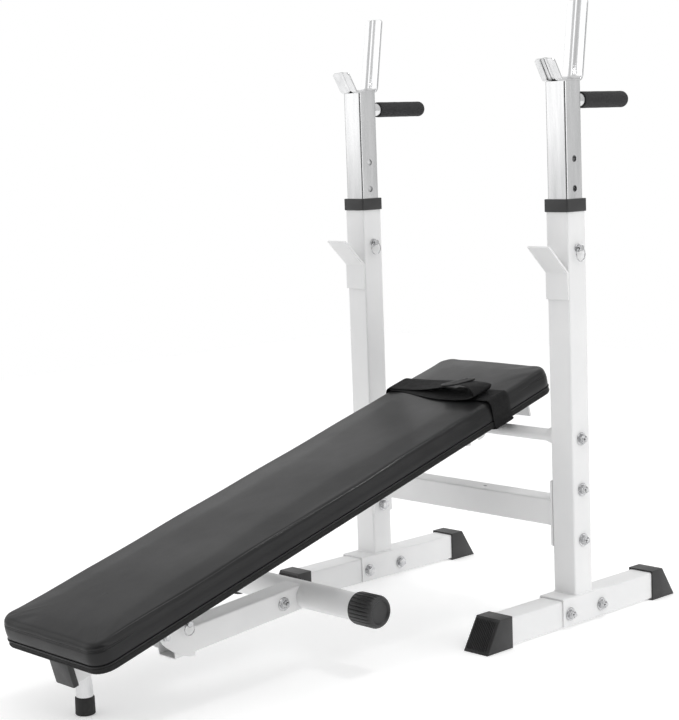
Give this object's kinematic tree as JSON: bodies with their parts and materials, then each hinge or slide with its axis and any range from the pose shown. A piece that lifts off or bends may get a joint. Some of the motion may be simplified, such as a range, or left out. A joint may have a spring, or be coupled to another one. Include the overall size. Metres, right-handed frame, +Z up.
{
  "type": "weight bench with barbell rack",
  "caption": "Decline bench with padded board and strap, hung on a barbell rack with sliding masts, bar holders and dip handles.",
  "frame": {"origin": "centre of the bounding box, on the floor", "axes": "+Z up, +Y from the low end of the bench to the rack, +X to the right seen from the low end"},
  "size_m": [0.6012, 1.25, 1.1276],
  "materials": {
    "powder_coat": "light grey-white satin powder coat",
    "zinc_steel": "bright zinc plate",
    "bolt_steel": "zinc-plated hardware",
    "black_plastic": "black moulded plastic",
    "black_rubber": "black rubber",
    "black_foam": "black closed-cell foam sleeve",
    "black_vinyl": "soft black vinyl upholstery over foam",
    "board_cloth": "plywood board wrapped in thin black cloth",
    "webbing": "black woven webbing"
  },
  "bodies": {
    "rack": {"foot_tube_left": "powder_coat", "foot_cap_left_front": "black_plastic", "foot_cap_left_rear": "black_plastic", "saddle_left": "powder_coat", "upright_left": "powder_coat", "guide_collar_left": "black_plastic", "bar_catch_left": "powder_coat", "foot_bolt_left_front": "bolt_steel", "foot_bolt_left_rear": "bolt_steel", "crossbar_bolt_left_low": "bolt_steel", "crossbar_bolt_left_high": "bolt_steel", "round_bar_bolt_left": "bolt_steel", "foot_tube_right": "powder_coat", "foot_cap_right_front": "black_plastic", "foot_cap_right_rear": "black_plastic", "saddle_right": "powder_coat", "upright_right": "powder_coat", "guide_collar_right": "black_plastic", "bar_catch_right": "powder_coat", "foot_bolt_right_front": "bolt_steel", "foot_bolt_right_rear": "bolt_steel", "crossbar_bolt_right_low": "bolt_steel", "crossbar_bolt_right_high": "bolt_steel", "round_bar_bolt_right": "bolt_steel", "lower_crossbar": "powder_coat", "upper_crossbar": "powder_coat"},
    "mast_left_set": {"mast_left": "zinc_steel", "bar_holder_left": "zinc_steel", "dip_bar_left": "zinc_steel", "grip_left": "black_foam"},
    "mast_right_set": {"mast_right": "zinc_steel", "bar_holder_right": "zinc_steel", "dip_bar_right": "zinc_steel", "grip_right": "black_foam"},
    "pin_left": {"lock_pin_left": "bolt_steel"},
    "ring_left": {"pin_ring_left": "bolt_steel"},
    "pin_right": {"lock_pin_right": "bolt_steel"},
    "ring_right": {"pin_ring_right": "bolt_steel"},
    "bench": {"seat_pad": "black_vinyl", "pad_board": "board_cloth", "spine_tube": "powder_coat", "spine_cap": "black_plastic", "pad_plate": "powder_coat", "hook_bracket": "powder_coat", "stub_foot": "zinc_steel", "stub_tip": "black_rubber", "strap": "webbing", "strap_buckle": "black_plastic", "leg_lug": "powder_coat"},
    "leg": {"leg_tube": "powder_coat", "leg_cheek_left": "powder_coat", "leg_cheek_right": "powder_coat", "leg_roller": "powder_coat", "leg_cap_left": "black_plastic", "leg_cap_right": "black_plastic", "leg_pivot_bolt": "bolt_steel", "leg_bolt": "bolt_steel"},
    "leg_pin": {"leg_lock_pin": "bolt_steel"},
    "leg_ring": {"leg_pin_ring": "bolt_steel"}
  },
  "joints": [
    {"name": "mast_left_slide", "type": "slide", "parent": "rack", "child": "mast_left_set", "axis": [0, 0, 1], "range_m": [-0.159, 0.106]},
    {"name": "mast_right_slide", "type": "slide", "parent": "rack", "child": "mast_right_set", "axis": [0, 0, 1], "range_m": [-0.159, 0.106]},
    {"name": "pin_left_pull", "type": "slide", "parent": "rack", "child": "pin_left", "axis": [1, 0, 0], "range_m": [0, 0.05]},
    {"name": "ring_left_swing", "type": "hinge", "parent": "pin_left", "child": "ring_left", "pos_m": [-0.2261, 0.35496, 0.6865], "axis": [0, -1, 0], "range_deg": [-4, 90]},
    {"name": "pin_right_pull", "type": "slide", "parent": "rack", "child": "pin_right", "axis": [1, 0, 0], "range_m": [0, 0.05]},
    {"name": "ring_right_swing", "type": "hinge", "parent": "pin_right", "child": "ring_right", "pos_m": [0.2919, 0.35496, 0.6865], "axis": [0, -1, 0], "range_deg": [-4, 90]},
    {"name": "bench_tilt", "type": "hinge", "parent": "rack", "child": "bench", "pos_m": [0, 0.35496, 0.341], "axis": [-1, 0, 0], "range_deg": [0, 30]},
    {"name": "leg_fold", "type": "hinge", "parent": "bench", "child": "leg", "pos_m": [0, -0.40658, 0.09635], "axis": [-1, 0, 0], "range_deg": [0, 85]},
    {"name": "leg_pin_pull", "type": "slide", "parent": "leg", "child": "leg_pin", "axis": [1, 0, 0], "range_m": [0, 0.05]},
    {"name": "leg_ring_swing", "type": "hinge", "parent": "leg_pin", "child": "leg_ring", "pos_m": [0.0337, -0.36282, 0.11063], "axis": [0, -1, 0], "range_deg": [-4, 90]}
  ]
}
